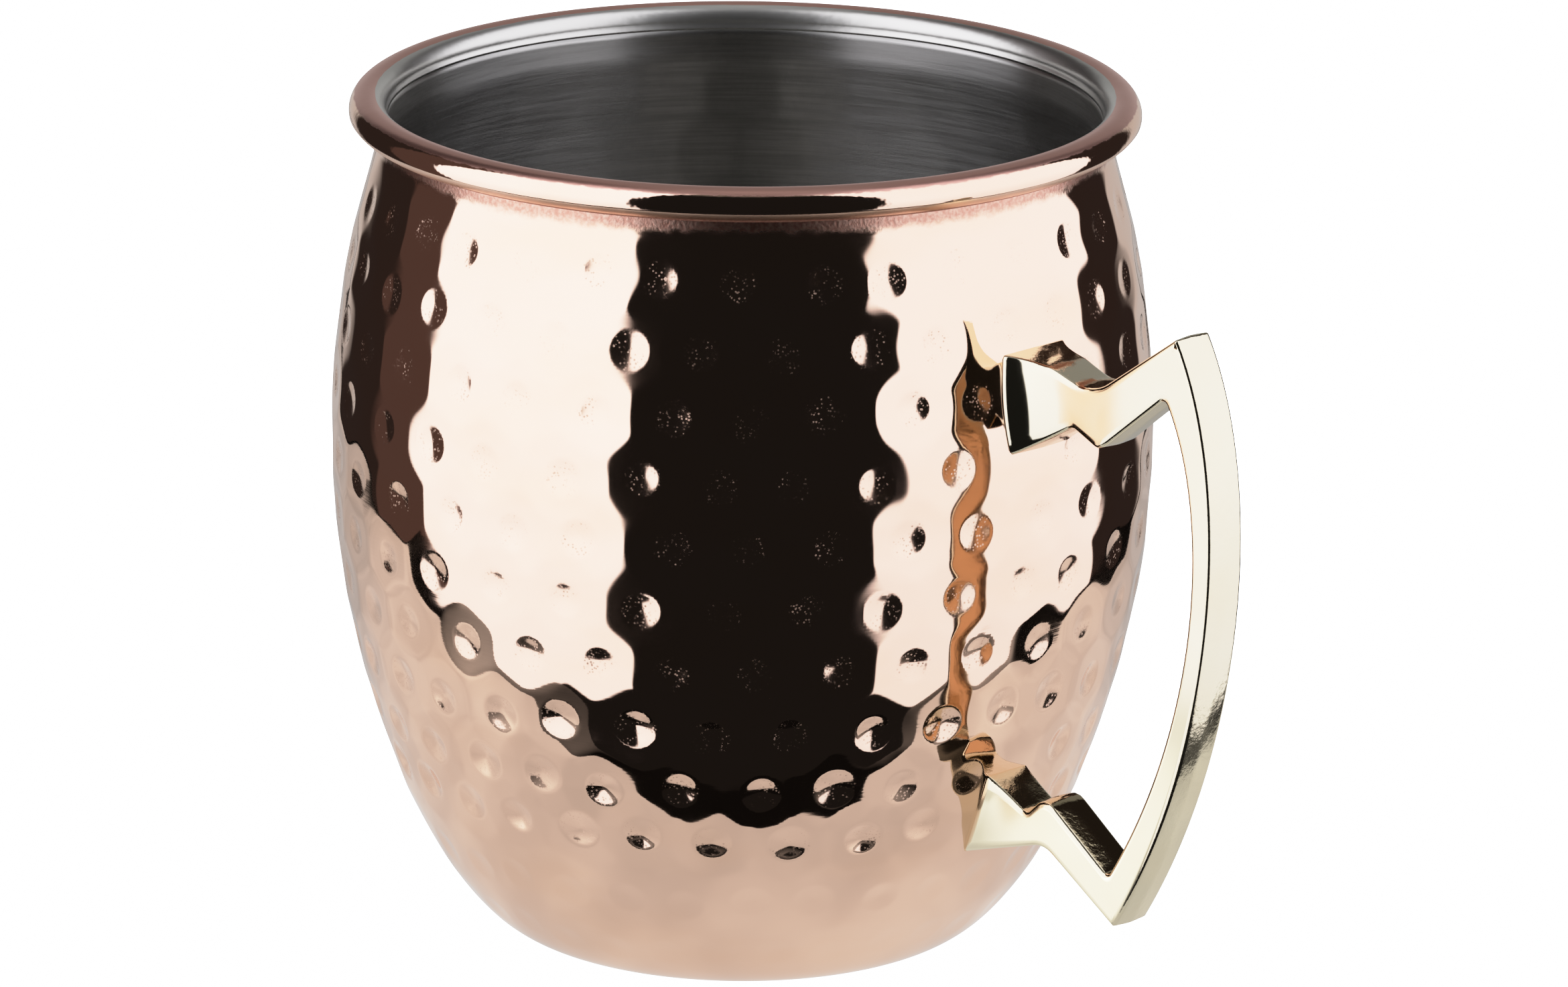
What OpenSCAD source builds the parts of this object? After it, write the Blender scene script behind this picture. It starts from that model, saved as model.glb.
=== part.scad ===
// Copper mug: a round-bellied copper jacket with a rolled rim, a thin steel
// liner, and a cast brass handle held by two blind studs.
// Millimetres. The origin is the middle of the base, the mug stands on z = 0,
// +Z is up along the mug's axis and the handle points along +X.

/* [Body] */
// Largest outside diameter of the mug's belly
body_d = 90; // [88:1:94]
// Height of the widest place above the base
belly_h = 55; // [52:1:58]
// Outside diameter of the wall just under the rim
neck_d = 80; // [79:0.5:81]
// Height at which the wall meets the neck
neck_h = 88; // [87:0.5:88.5]
// Lean of the wall at the neck, from vertical
neck_lean = 18; // [14:1:22]
// Diameter of the flat base
base_d = 49; // [46:1:52]
// Slope of the wall where it leaves the base
base_rise = 17; // [12:1:22]

/* [Rim] */
// Thickness of the rolled bead
bead_d = 4; // [3.4:0.2:4.4]
// Diameter of the circle through the middle of the bead
bead_ring_d = 82.2; // [81.6:0.2:83]
// Height of the middle of the bead
bead_h = 91.7; // [91.4:0.1:92.2]
// Inside diameter of the mouth, under the lip
mouth_d = 77.7; // [77:0.1:77.9]
// Height of the liner's upper edge
liner_edge_h = 91; // [90:0.1:91.2]

/* [Sheet metal] */
// Thickness of the copper jacket
jacket_t = 0.7; // [0.6:0.05:0.8]
// Thickness of the steel liner
liner_t = 0.5; // [0.4:0.05:0.6]

/* [Handle] */
// Thickness of the handle across the grip and the arms
handle_t = 5.2; // [4.6:0.1:6]
// Extra half thickness that the upper foot flares to at the wall
upper_flare = 2.5; // [1:0.1:3]
// Extra half thickness that the lower foot flares to at the wall
lower_flare = 0.6; // [0.4:0.1:3]
// Distance from the wall over which a flare dies away
flare_run = 2.4; // [1.6:0.1:6]

/* [Studs] */
// Diameter of the studs that hold the handle
stud_d = 3; // [2.6:0.1:3.4]
// Height of the upper stud
upper_stud_h = 69; // [68.6:0.1:69.6]
// Height of the lower stud
lower_stud_h = 20.8; // [20.6:0.1:21.2]
// Distance from the mug's axis to the upper stud's tip
upper_stud_tip = 50.5; // [49.5:0.1:51.5]
// Distance from the mug's axis to the lower stud's tip
lower_stud_tip = 44; // [43:0.1:44.4]
// Play between a stud and its hole in the jacket
stud_play = 0.05; // [0:0.01:0.1]

/* [Hidden] */

copper = [0.86, 0.56, 0.44];
steel = [0.62, 0.61, 0.60];
brass = [0.88, 0.78, 0.52];
stud_steel = [0.5, 0.5, 0.52];

body_r = body_d / 2;
neck_r = neck_d / 2;
base_r = base_d / 2;
bead_r = bead_d / 2;
bead_ring_r = bead_ring_d / 2;
mouth_r = mouth_d / 2;
stud_r = stud_d / 2;

// How far each end of the wall's curve keeps its direction
neck_pull = 17.6;
belly_pull_up = 2;
belly_pull_down = 27;
base_pull = 9.2;

curve_steps = 24;
round_steps = 8;
shell_fn = 180;
bore_fn = 48;

// ---- curves ----

// Point on a cubic curve with end points p[0], p[3] and handles p[1], p[2]
function cubic(p, t) =
    pow(1 - t, 3) * p[0] + 3 * pow(1 - t, 2) * t * p[1]
    + 3 * (1 - t) * pow(t, 2) * p[2] + pow(t, 3) * p[3];

// Direction of that curve, as a unit vector
function cubic_dir(p, t) =
    let (v = pow(1 - t, 2) * (p[1] - p[0]) + 2 * (1 - t) * t * (p[2] - p[1])
        + pow(t, 2) * (p[3] - p[2]))
    v / norm(v);

// The curve moved sideways by d, to its left
function cubic_offset(p, d) =
    [for (i = [0 : curve_steps])
        let (t = i / curve_steps, v = cubic_dir(p, t))
        cubic(p, t) + d * [-v[1], v[0]]];

// Arc of radius r that rounds the corner b between a and c
function round_corner(a, b, c, r) =
    let (u = (a - b) / norm(a - b),
        v = (c - b) / norm(c - b),
        half = acos(u * v) / 2,
        centre = b + (u + v) / norm(u + v) * r / sin(half),
        first = b + u * r / tan(half) - centre,
        last = b + v * r / tan(half) - centre)
    [for (i = [0 : round_steps])
        let (k = i / round_steps, w = (1 - k) * first + k * last)
        centre + r * w / norm(w)];

// ---- the mug's wall, as radius and height ----

// From the base up to the belly
wall_low = [[base_r, 0],
    [base_r + base_pull * cos(base_rise), base_pull * sin(base_rise)],
    [body_r, belly_h - belly_pull_down],
    [body_r, belly_h]];

// From the belly up to the neck
wall_high = [[body_r, belly_h],
    [body_r, belly_h + belly_pull_up],
    [neck_r + neck_pull * sin(neck_lean), neck_h - neck_pull * cos(neck_lean)],
    [neck_r, neck_h]];

// The wall's curve, d further in than the outside, from base to neck
function wall_curve(d) =
    concat(cubic_offset(wall_low, d),
        [for (i = [1 : curve_steps]) cubic_offset(wall_high, d)[i]]);

// Where the outside of the wall runs into the bead
neck_tuck = 0.2;
neck_top_r = neck_r - neck_tuck;
neck_top_h = bead_h - sqrt(pow(bead_r, 2) - pow(bead_ring_r - neck_top_r, 2));
bead_start = atan2(neck_top_h - bead_h, neck_top_r - bead_ring_r);

// The bead, from the wall's outside round to the lip on its inside
function bead_arc() =
    [for (i = [0 : 2 * curve_steps])
        let (w = bead_start + (180 - bead_start) * i / (2 * curve_steps))
        [bead_ring_r + bead_r * cos(w), bead_h + bead_r * sin(w)]];

// The mug's whole outside, filled in up to the liner's edge
module outer_form() {
    rotate_extrude($fn = shell_fn)
        polygon(concat([[0, 0]], wall_curve(0), [[neck_top_r, neck_top_h]],
            bead_arc(), [[mouth_r, liner_edge_h], [0, liner_edge_h]]));
}

// The mug's inside, filled in, from a surface that lies depth inside the wall
module liner_form(depth) {
    rotate_extrude($fn = shell_fn)
        polygon(concat([[0, depth]],
            [for (p = wall_curve(depth)) [p[0], max(p[1], depth)]],
            [[mouth_r + jacket_t + liner_t - depth, liner_edge_h], [0, liner_edge_h]]));
}

// ---- the handle ----

// Where the arms' roots end, inside the wall
upper_root_x = 41;
lower_root_x = 34;

// The grip's two long curves
grip_outside = [[66, 79.7], [75.5, 64], [72.5, 34], [58.7, 12.5]];
grip_inside = [[57.6, 18.4], [70, 38], [71.4, 60.7], [64.4, 72.4]];

// Corners of the arms
upper_root_top = [upper_root_x, 74];
upper_brow = [48.5, 73];
upper_dip = [53.9, 71.1];
upper_root_low = [upper_root_x, 60.5];
upper_notch = [51.5, 66.7];
upper_toe = [55.3, 64.9];
lower_root_low = [lower_root_x, 15.2];
lower_bend = [48.2, 19.4];
lower_root_top = [lower_root_x, 29.6];
lower_notch = [45.7, 22.7];
lower_crest = [48.3, 25.2];

brow_round = 8;
dip_round = 5.5;
bend_round = 3;
crest_round = 2;
toe_round = 1.5;
notch_round = 0.6;

function curve_points(p) = [for (i = [0 : curve_steps]) cubic(p, i / curve_steps)];

module handle_outline() {
    polygon(concat(
        [upper_root_top],
        round_corner(upper_root_top, upper_brow, upper_dip, brow_round),
        round_corner(upper_brow, upper_dip, grip_outside[0], dip_round),
        curve_points(grip_outside),
        round_corner(grip_outside[3], lower_bend, lower_root_low, bend_round),
        [lower_root_low, lower_root_top],
        round_corner(lower_root_top, lower_notch, lower_crest, notch_round),
        round_corner(lower_notch, lower_crest, grip_inside[0], crest_round),
        curve_points(grip_inside),
        round_corner(grip_inside[3], upper_toe, upper_notch, toe_round),
        round_corner(upper_toe, upper_notch, upper_root_low, notch_round),
        [upper_root_low]));
}

// Half thickness of the handle at a distance from the wall, for a foot's flare
function half_thickness(d, flare) = handle_t / 2 + flare * exp(-max(d, 0) / flare_run);

flare_steps = 16;
flare_reach = 26;
handle_reach = 80;
// Radius of the wall at each foot
upper_foot_r = 44.2;
lower_foot_r = 39;

// Plan of the handle's thickness, flaring towards a wall at radius wall_r
module thickness_plan(wall_r, flare) {
    side = [for (i = [0 : flare_steps])
        let (d = flare_reach * pow(i / flare_steps, 2))
        [wall_r + d, half_thickness(d, flare)]];
    polygon(concat([[0, half_thickness(0, flare)]], side,
        [[handle_reach, handle_t / 2], [handle_reach, -handle_t / 2]],
        [for (i = [flare_steps : -1 : 0]) [side[i][0], -side[i][1]]],
        [[0, -half_thickness(0, flare)]]));
}

// Height at which the upper foot's plan gives way to the lower foot's
plan_split_h = 45;
handle_top = 90;

module handle_blank() {
    intersection() {
        rotate([90, 0, 0])
            linear_extrude(height = 4 * handle_t, center = true)
                handle_outline();
        union() {
            translate([0, 0, plan_split_h])
                linear_extrude(height = handle_top - plan_split_h)
                    thickness_plan(upper_foot_r, upper_flare);
            linear_extrude(height = plan_split_h)
                thickness_plan(lower_foot_r, lower_flare);
        }
    }
}

// ---- studs and their holes ----

module stud_rod(height, tip_x, r) {
    translate([body_r / 2, 0, height])
        rotate([0, 90, 0])
            cylinder(r = r, h = tip_x - body_r / 2, $fn = bore_fn);
}

// ---- the mug's pieces ----

module copper_jacket() {
    color(copper) difference() {
        outer_form();
        liner_form(jacket_t);
        translate([0, 0, liner_edge_h])
            cylinder(r = mouth_r, h = bead_d / 2, center = true, $fn = shell_fn);
        stud_rod(upper_stud_h, upper_stud_tip, stud_r + stud_play);
        stud_rod(lower_stud_h, lower_stud_tip, stud_r + stud_play);
    }
}

module steel_liner() {
    color(steel) difference() {
        liner_form(jacket_t);
        liner_form(jacket_t + liner_t);
    }
}

module handle() {
    color(brass) difference() {
        handle_blank();
        outer_form();
        stud_rod(upper_stud_h, upper_stud_tip, stud_r);
        stud_rod(lower_stud_h, lower_stud_tip, stud_r);
    }
}

module stud(height, tip_x) {
    color(stud_steel) difference() {
        stud_rod(height, tip_x, stud_r);
        liner_form(jacket_t);
    }
}

module upper_stud() { stud(upper_stud_h, upper_stud_tip); }
module lower_stud() { stud(lower_stud_h, lower_stud_tip); }

copper_jacket();
steel_liner();
handle();
upper_stud();
lower_stud();
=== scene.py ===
# Looks of the copper mug: a hammered, polished copper jacket with a rolled rim, a brushed steel
# liner and a polished cast brass handle. Lengths in the shape code are millimetres, and every
# mesh is turned into metres as it is made.
import math
import random

import bmesh
import bpy
import numpy as np
from mathutils import Matrix, Vector


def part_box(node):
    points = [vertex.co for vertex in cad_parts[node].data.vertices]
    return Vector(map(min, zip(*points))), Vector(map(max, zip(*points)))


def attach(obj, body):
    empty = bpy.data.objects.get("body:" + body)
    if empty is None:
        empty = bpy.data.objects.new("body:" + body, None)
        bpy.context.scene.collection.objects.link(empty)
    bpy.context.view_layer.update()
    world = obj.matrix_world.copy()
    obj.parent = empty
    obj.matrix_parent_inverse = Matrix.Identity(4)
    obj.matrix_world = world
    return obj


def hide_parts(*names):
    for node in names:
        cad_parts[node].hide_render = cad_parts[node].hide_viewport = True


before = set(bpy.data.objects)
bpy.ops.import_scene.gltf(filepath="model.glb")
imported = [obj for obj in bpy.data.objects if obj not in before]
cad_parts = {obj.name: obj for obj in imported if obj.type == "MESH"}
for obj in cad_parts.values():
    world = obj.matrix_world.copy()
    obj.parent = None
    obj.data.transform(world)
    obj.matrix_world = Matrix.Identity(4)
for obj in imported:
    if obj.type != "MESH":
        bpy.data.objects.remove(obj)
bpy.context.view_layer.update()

MM = 0.001

# ---------------------------------------------------------------- sizes

jacket_low, jacket_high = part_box("copper_jacket")

# The wall is two curves that meet at the belly. A rise or lean is a curve's angle at its end,
# and a pull is how far its control point lies from that end.
BODY_R = -jacket_low.x / MM
BELLY_H = 55.0
NECK_R = 40.0
NECK_H = 88.0
NECK_LEAN = math.radians(18.0)
BASE_R = 24.5
BASE_RISE = math.radians(17.0)
NECK_PULL = 17.6
BELLY_PULL_UP = 2.0
BELLY_PULL_DOWN = 27.0
BASE_PULL = 9.2

# The rolled bead on the neck, and the mouth inside it where the liner ends
BEAD_R = 2.0
BEAD_H = jacket_high.z / MM - BEAD_R
BEAD_RING_R = 41.1
MOUTH_R = 38.85
LINER_EDGE_H = 91.0
JACKET_T = 0.7
LINER_T = 0.5

# Hammer marks: rows round the wall, every other row set half a step on. Each mark is a soft
# bowl with a steeper punched cap in it. A press deepens the caps, and a lift moves their
# deepest points up the wall. The rows by the base fade out.
DENTS_PER_ROW = 32
DENT_ROWS = 12
TOP_ROW_H = 83.3
ROW_PITCH = 7.1
FIRST_TURN = math.radians(0.7)
ROW_DRIFT = math.radians(0.17)
BOWL_R = 4.9
BOWL_REACH = 1.1 * BOWL_R
BOWL_DEPTH = 0.145
BOWL_POWER = 3
BOWL_EASE = 2
CAP_R = 2.0
CAP_DEPTH = 0.19
CAP_LIFT = 0.25
CAP_POWER = 1.4
GRAIN_R = 1.08 * CAP_R
GRAIN_FADE = 0.16 * CAP_R
LOW_ROW = 7
LOW_ROW_PRESS = 2.0
LOW_ROW_SIZE = 1.1
LAST_FULL_ROW = 9
LAST_FULL_ROW_PRESS = 2.35
LAST_FULL_ROW_LIFT = -0.3
LAST_FULL_ROW_RISE = 1.3
ROW_FADE = 0.5

# The share of a bowl's depth that shows on the other side of the sheet
THROUGH = 0.5

# How unevenly the hammer fell
DENT_SEED = 90727
ROW_PLAY = math.radians(1.0)
DENT_PLAY = 0.1
HEIGHT_PLAY = 0.5
DEPTHS = (0.8, 1.15)
DENT_SIZES = (0.93, 1.07)
SQUASHES = (0.94, 1.06)

# No marks lie under the handle's feet
FOOT_REACH = 5.0
FOOT_HEIGHTS = ((60.0, 76.0), (15.0, 29.0))

# Handle: its arms flare towards the wall, and its narrow faces have a low roof
HANDLE_T = 5.2
UPPER_FLARE = 2.5
LOWER_FLARE = 0.6
FLARE_RUN = 2.4
FOOT_SINK = 0.3
EDGE_ROUND = 0.4
CROWN = 0.14
CROWN_POWER = 1.25
POLISHED_OFF = 0.02

# Camera, as it stands to the mug: the handle points along +X
CAMERA_AZIMUTH = math.radians(-45.5)
CAMERA_ELEVATION = math.radians(16.22)
CAMERA_DISTANCE = 1175.7
CAMERA_LENS = 246.0
CAMERA_ROLL = math.radians(0.58)
AIM_H = 50.6
AIM_RIGHT = 4.6
AIM_UP = -2.3
SENSOR_WIDTH = 36.0
CLIP_RANGE = (0.01, 50.0)


# ---------------------------------------------------------------- curves

def cubic(p, t):
    """Points at t on the curve with control points p."""
    p = np.asarray(p, float)
    t = np.atleast_1d(t)[:, None]
    s = 1.0 - t
    return s**3 * p[0] + 3 * s * s * t * p[1] + 3 * s * t * t * p[2] + t**3 * p[3]


WALL_LOW = (
    (BASE_R, 0.0),
    (BASE_R + BASE_PULL * math.cos(BASE_RISE), BASE_PULL * math.sin(BASE_RISE)),
    (BODY_R, BELLY_H - BELLY_PULL_DOWN),
    (BODY_R, BELLY_H),
)
WALL_HIGH = (
    (BODY_R, BELLY_H),
    (BODY_R, BELLY_H + BELLY_PULL_UP),
    (NECK_R + NECK_PULL * math.sin(NECK_LEAN), NECK_H - NECK_PULL * math.cos(NECK_LEAN)),
    (NECK_R, NECK_H),
)


def arc_length(points):
    steps = np.linalg.norm(np.diff(points, axis=0), axis=1)
    return np.concatenate([[0.0], np.cumsum(steps)])


def resample(points, count):
    """The polyline through points, as count points at equal steps along it."""
    points = np.asarray(points, float)
    run = arc_length(points)
    at = np.linspace(0.0, run[-1], count)
    return np.stack([np.interp(at, run, points[:, k]) for k in range(2)], axis=1)


def resample_step(points, step):
    """The polyline through points, at equal steps of about step."""
    points = np.asarray(points, float)
    return resample(points, max(2, int(round(arc_length(points)[-1] / step)) + 1))


def left_normals(points):
    """Unit normals to the left of the direction of travel."""
    way = np.gradient(np.asarray(points, float), axis=0)
    way /= np.linalg.norm(way, axis=1)[:, None]
    return np.stack([-way[:, 1], way[:, 0]], axis=1)


WALL_T = np.linspace(0.0, 1.0, 600)
WALL = np.vstack([cubic(WALL_LOW, WALL_T), cubic(WALL_HIGH, WALL_T)[1:]])


def wall_r(z):
    """Outside radius of the smooth wall at height z."""
    return np.interp(z, WALL[:, 1], WALL[:, 0])


def wall_run(z):
    """Distance along the wall from the edge of the base up to height z."""
    return np.interp(z, WALL[:, 1], arc_length(WALL))


# ---------------------------------------------------------------- meshes

def new_object(name, verts_mm, faces, material):
    """A smooth-shaded object in the scene, from vertices in millimetres."""
    mesh = bpy.data.meshes.new(name)
    mesh.from_pydata((np.asarray(verts_mm) * MM).tolist(), [], faces)
    mesh.validate()
    mesh.polygons.foreach_set("use_smooth", np.ones(len(mesh.polygons), bool))
    mesh.materials.append(material)
    mesh.update()
    piece = bpy.data.objects.new(name, mesh)
    bpy.context.scene.collection.objects.link(piece)
    return piece


def lathe_mesh(rings, columns):
    """Vertices and faces of a solid of revolution. rings holds one (radius, height) row of
    column arrays per ring; the first and last ring are single points on the axis."""
    turn = np.arange(columns) * (2 * math.pi / columns)
    verts = [(0.0, 0.0, rings[0][1][0])]
    for radius, height in rings[1:-1]:
        verts.extend(zip(radius * np.cos(turn), radius * np.sin(turn), height))
    verts.append((0.0, 0.0, rings[-1][1][0]))
    last = len(verts) - 1
    inner = len(rings) - 2
    step = np.arange(columns)
    after = (step + 1) % columns
    faces = [(0, int(1 + b), int(1 + a)) for a, b in zip(step, after)]
    for i in range(inner - 1):
        low = 1 + i * columns
        high = low + columns
        faces.extend(
            np.stack([low + step, low + after, high + after, high + step], axis=1).tolist()
        )
    top = 1 + (inner - 1) * columns
    faces.extend((int(top + a), int(top + b), last) for a, b in zip(step, after))
    return verts, faces


# ---------------------------------------------------------------- hammer marks

def row_press(row):
    """How a row is struck: press, size, lift, and how much higher it sits."""
    if row == LAST_FULL_ROW:
        return LAST_FULL_ROW_PRESS, LOW_ROW_SIZE, LAST_FULL_ROW_LIFT, LAST_FULL_ROW_RISE
    if row >= LOW_ROW:
        return LOW_ROW_PRESS, LOW_ROW_SIZE, CAP_LIFT, 0.0
    return 1.0, 1.0, CAP_LIFT, 0.0


def under_foot(angle, height):
    """Whether a mark at angle and height would lie under one of the handle's feet."""
    side = (angle + math.pi) % (2 * math.pi) - math.pi
    beside = abs(side) * BODY_R < FOOT_REACH
    return beside and any(low < height < high for low, high in FOOT_HEIGHTS)


def make_dents():
    """Every hammer mark as (angle, run along the wall, wall radius, depth, press, lift, size,
    squash). The marks below the belly are pressed deeper, and those by the base fade out."""
    rng = random.Random(DENT_SEED)
    step = 2 * math.pi / DENTS_PER_ROW
    dents = []
    for row in range(DENT_ROWS):
        press, spread, lift, rise = row_press(row)
        height = TOP_ROW_H - ROW_PITCH * row + rise
        fade = ROW_FADE ** max(row - LAST_FULL_ROW, 0)
        start = CAMERA_AZIMUTH + FIRST_TURN + ROW_DRIFT * row + rng.uniform(-1, 1) * ROW_PLAY
        for k in range(DENTS_PER_ROW):
            angle = start + (k + 0.5 * (row % 2) + rng.uniform(-DENT_PLAY, DENT_PLAY)) * step
            h = height + rng.uniform(-HEIGHT_PLAY, HEIGHT_PLAY)
            depth = fade * rng.uniform(*DEPTHS)
            size = spread * rng.uniform(*DENT_SIZES)
            squash = rng.uniform(*SQUASHES)
            if not under_foot(angle, h):
                place = (angle, wall_run(h), float(wall_r(h)))
                dents.append(place + (depth, press, lift, size, squash))
    return dents


TINY = 1e-9


def cap_share(across, along, lift):
    """0 at a mark's deepest point, which lies lift above its middle, and 1 at its rim."""
    low = along - lift
    reach2 = np.maximum(across**2 + low**2, TINY)
    lean = lift * low
    root = np.sqrt(np.maximum(lean**2 + reach2 * (CAP_R**2 - lift**2), 0.0))
    return reach2 / (root - lean)


def dent_fields(run, columns, dents):
    """Depth of the soft bowls, depth of the punched caps, and a 0 to 1 mask of the caps, for
    rows at run and columns round the wall."""
    turn = np.arange(columns) * (2 * math.pi / columns)
    bowl = np.zeros((len(run), columns))
    cap = np.zeros_like(bowl)
    mask = np.zeros_like(bowl)
    for angle, centre, radius, depth, press, lift, size, squash in dents:
        rows = np.nonzero(np.abs(run - centre) < BOWL_REACH)[0]
        if len(rows) == 0:
            continue
        side = (turn - angle + math.pi) % (2 * math.pi) - math.pi
        cols = np.nonzero(np.abs(side) * radius < BOWL_REACH)[0]
        across = side[cols][None, :] * radius * squash
        along = (run[rows] - centre)[:, None]
        dist = np.hypot(across, along) / size
        spot = np.ix_(rows, cols)
        soft = np.maximum(1.0 - (dist / BOWL_R) ** BOWL_POWER, 0.0)
        bowl[spot] += BOWL_DEPTH * depth * soft**BOWL_EASE
        hollow = 1.0 - cap_share(across / size, along / size, lift) ** CAP_POWER
        pressed = CAP_DEPTH * depth * press * np.maximum(hollow, 0.0)
        cap[spot] = np.maximum(cap[spot], pressed)
        edge = np.clip((GRAIN_R - dist) / GRAIN_FADE, 0.0, 1.0)
        mask[spot] = np.maximum(mask[spot], edge * min(1.0, depth))
    return bowl, cap, mask


# ---------------------------------------------------------------- materials

def new_material(name):
    material = bpy.data.materials.new(name)
    material.use_nodes = True
    tree = material.node_tree
    shader = tree.nodes["Principled BSDF"]
    return material, tree, shader


def add(tree, kind, **values):
    """A new node; values named in lower case are properties, others are input sockets."""
    node = tree.nodes.new(kind)
    for key, value in values.items():
        if key[0].isupper():
            node.inputs[key.replace("_", " ")].default_value = value
        else:
            setattr(node, key, value)
    return node


def math_node(tree, operation, a, b=None, clamp=False):
    node = add(tree, "ShaderNodeMath", operation=operation, use_clamp=clamp)
    for socket, value in zip(node.inputs, (a, b)):
        if value is None:
            continue
        if isinstance(value, (int, float)):
            socket.default_value = value
        else:
            tree.links.new(value, socket)
    return node.outputs[0]


def ramp(tree, value, start, end, low=0.0, high=1.0):
    """value mapped smoothly from [start, end] to [low, high]."""
    node = add(tree, "ShaderNodeMapRange", interpolation_type="SMOOTHSTEP")
    node.inputs["From Min"].default_value = start
    node.inputs["From Max"].default_value = end
    node.inputs["To Min"].default_value = low
    node.inputs["To Max"].default_value = high
    tree.links.new(value, node.inputs["Value"])
    return node.outputs["Result"]


def mix_colour(tree, share, first, second):
    """first where share is 0 and second where it is 1."""
    node = add(tree, "ShaderNodeMix", data_type="RGBA")
    for socket, value in zip((node.inputs[0], node.inputs[6], node.inputs[7]),
                             (share, first, second)):
        if isinstance(value, (int, float, tuple)):
            socket.default_value = value
        else:
            tree.links.new(value, socket)
    return node.outputs[2]


def object_noise(tree, scale, stretch=(1.0, 1.0, 1.0), detail=2.0, rough=0.5):
    """Noise over the object's own coordinates, in metres, stretched where stretch is small."""
    place = add(tree, "ShaderNodeTexCoord")
    size = add(tree, "ShaderNodeMapping")
    size.inputs["Scale"].default_value = stretch
    tree.links.new(place.outputs["Object"], size.inputs["Vector"])
    noise = add(tree, "ShaderNodeTexNoise", Scale=scale, Detail=detail, Roughness=rough)
    tree.links.new(size.outputs["Vector"], noise.inputs["Vector"])
    return noise.outputs["Fac"]


SPECK_EDGE = (0.18, 0.42)


def specks(tree, scale):
    """Small round spots, scale of them to the metre, scattered at random."""
    place = add(tree, "ShaderNodeTexCoord")
    cells = add(tree, "ShaderNodeTexVoronoi", Scale=scale)
    tree.links.new(place.outputs["Object"], cells.inputs["Vector"])
    return ramp(tree, cells.outputs["Distance"], *SPECK_EDGE, 1.0, 0.0)


def attribute(tree, name):
    return add(tree, "ShaderNodeAttribute", attribute_name=name).outputs["Fac"]


def object_height(tree):
    place = add(tree, "ShaderNodeTexCoord")
    split = add(tree, "ShaderNodeSeparateXYZ")
    tree.links.new(place.outputs["Object"], split.inputs[0])
    return split.outputs["Z"]


def bump(tree, height, distance, strength, before=None):
    """A normal bent by height, of distance metres at most, on top of the normal before."""
    node = add(tree, "ShaderNodeBump", Distance=distance)
    tree.links.new(height, node.inputs["Height"])
    if isinstance(strength, (int, float)):
        node.inputs["Strength"].default_value = strength
    else:
        tree.links.new(strength, node.inputs["Strength"])
    if before is not None:
        tree.links.new(before, node.inputs["Normal"])
    return node.outputs["Normal"]


COPPER_CLEAN = (0.955, 0.655, 0.50, 1.0)
COPPER_WARM = (0.935, 0.625, 0.46, 1.0)
BAND_DARK = (0.62, 0.32, 0.24, 1.0)
BAND_LIGHT = (0.80, 0.51, 0.40, 1.0)
LIP_COPPER = (0.72, 0.405, 0.335, 1.0)
LIP_STEEL = (0.66, 0.65, 0.61, 1.0)

# Noise scales, per metre
RAGGED_SCALE = 700.0
GRIME_SCALE = 2600.0
SMEAR_SCALE = 45.0
SPECK_SCALE = 2600.0
PATCH_SCALE = 620.0
LATHE_SCALE = 60.0
UNEVEN_SCALE = 230.0

# What each kind of finish adds to the roughness
POLISH_ROUGH = (0.035, 0.075)
MARK_ROUGH = 0.03
SPECK_ROUGH = 0.36
BAND_ROUGH = 0.26
LIP_ROUGH = 0.26
UNDER_ROUGH = 0.32

RAGGED_SHARE = 0.12
BEAD_START = (0.0896, 0.0902)
LATHE_BUMP = (0.00001, 0.12)
UNEVEN_BUMP = (0.00012, 0.4)
GRIME_BUMP = (0.00006, 0.5)


def copper_colour(tree, smear, grime, dull, matte, ragged):
    polish = mix_colour(tree, ramp(tree, smear, 0.4, 0.75), COPPER_CLEAN, COPPER_WARM)
    spotted = mix_colour(tree, ramp(tree, grime, 0.3, 0.75), BAND_DARK, BAND_LIGHT)
    colour = mix_colour(tree, dull, polish, spotted)
    colour = mix_colour(tree, matte, colour, LIP_COPPER)
    # The liner's steel comes up the inside of the bead
    uncoated = math_node(tree, "ADD", attribute(tree, "inner"), ragged)
    return mix_colour(tree, ramp(tree, uncoated, 0.35, 0.65), colour, LIP_STEEL)


def copper_roughness(tree, smear, dull, matte):
    # The hammer's face leaves a grain of dull specks in each mark
    patch = ramp(tree, object_noise(tree, PATCH_SCALE, detail=1.0), 0.35, 0.65, 0.15, 1.0)
    grain = math_node(tree, "MULTIPLY", specks(tree, SPECK_SCALE), patch)
    worn = math_node(tree, "MULTIPLY", grain, SPECK_ROUGH)
    worn = math_node(tree, "ADD", worn, MARK_ROUGH)
    rough = ramp(tree, smear, 0.35, 0.8, *POLISH_ROUGH)
    for share, added in (
        (attribute(tree, "dent"), worn),
        (dull, BAND_ROUGH),
        (matte, LIP_ROUGH),
        (attribute(tree, "under"), UNDER_ROUGH),
    ):
        rough = math_node(tree, "ADD", rough, math_node(tree, "MULTIPLY", share, added))
    return rough


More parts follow.
